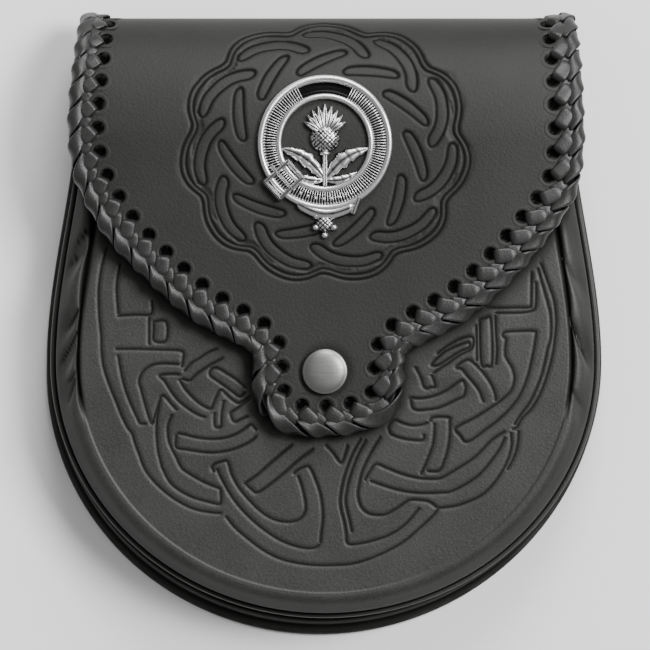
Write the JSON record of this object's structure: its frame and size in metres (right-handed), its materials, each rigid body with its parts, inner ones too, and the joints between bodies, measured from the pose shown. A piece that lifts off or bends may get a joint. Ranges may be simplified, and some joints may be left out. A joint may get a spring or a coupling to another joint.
{
  "type": "sporran pouch",
  "caption": "Leather day sporran: moulded pouch with knotwork embossing, a laced flap held by a press stud, a cast badge and belt loops on the back.",
  "frame": {"origin": "middle of the bounding box seen from the front, on the surface that the sporran lies on", "axes": "+X to the right seen from the front, +Y up the pouch to the fold of the flap, +Z out of the front"},
  "size_m": [0.1818, 0.2042, 0.0434],
  "materials": {
    "leather": "embossed, satin black",
    "lace": "smooth, satin black",
    "pewter": "cast pewter, darkened recesses",
    "snap_metal": "brushed, dull"
  },
  "bodies": {
    "root": {"pouch_front": "leather", "gusset": "leather", "back_and_flap": "leather", "flap_lacing": "lace", "badge": "pewter", "snap_cap": "snap_metal", "snap_stud": "snap_metal", "belt_loop_left": "leather", "belt_loop_right": "leather"}
  },
  "joints": []
}
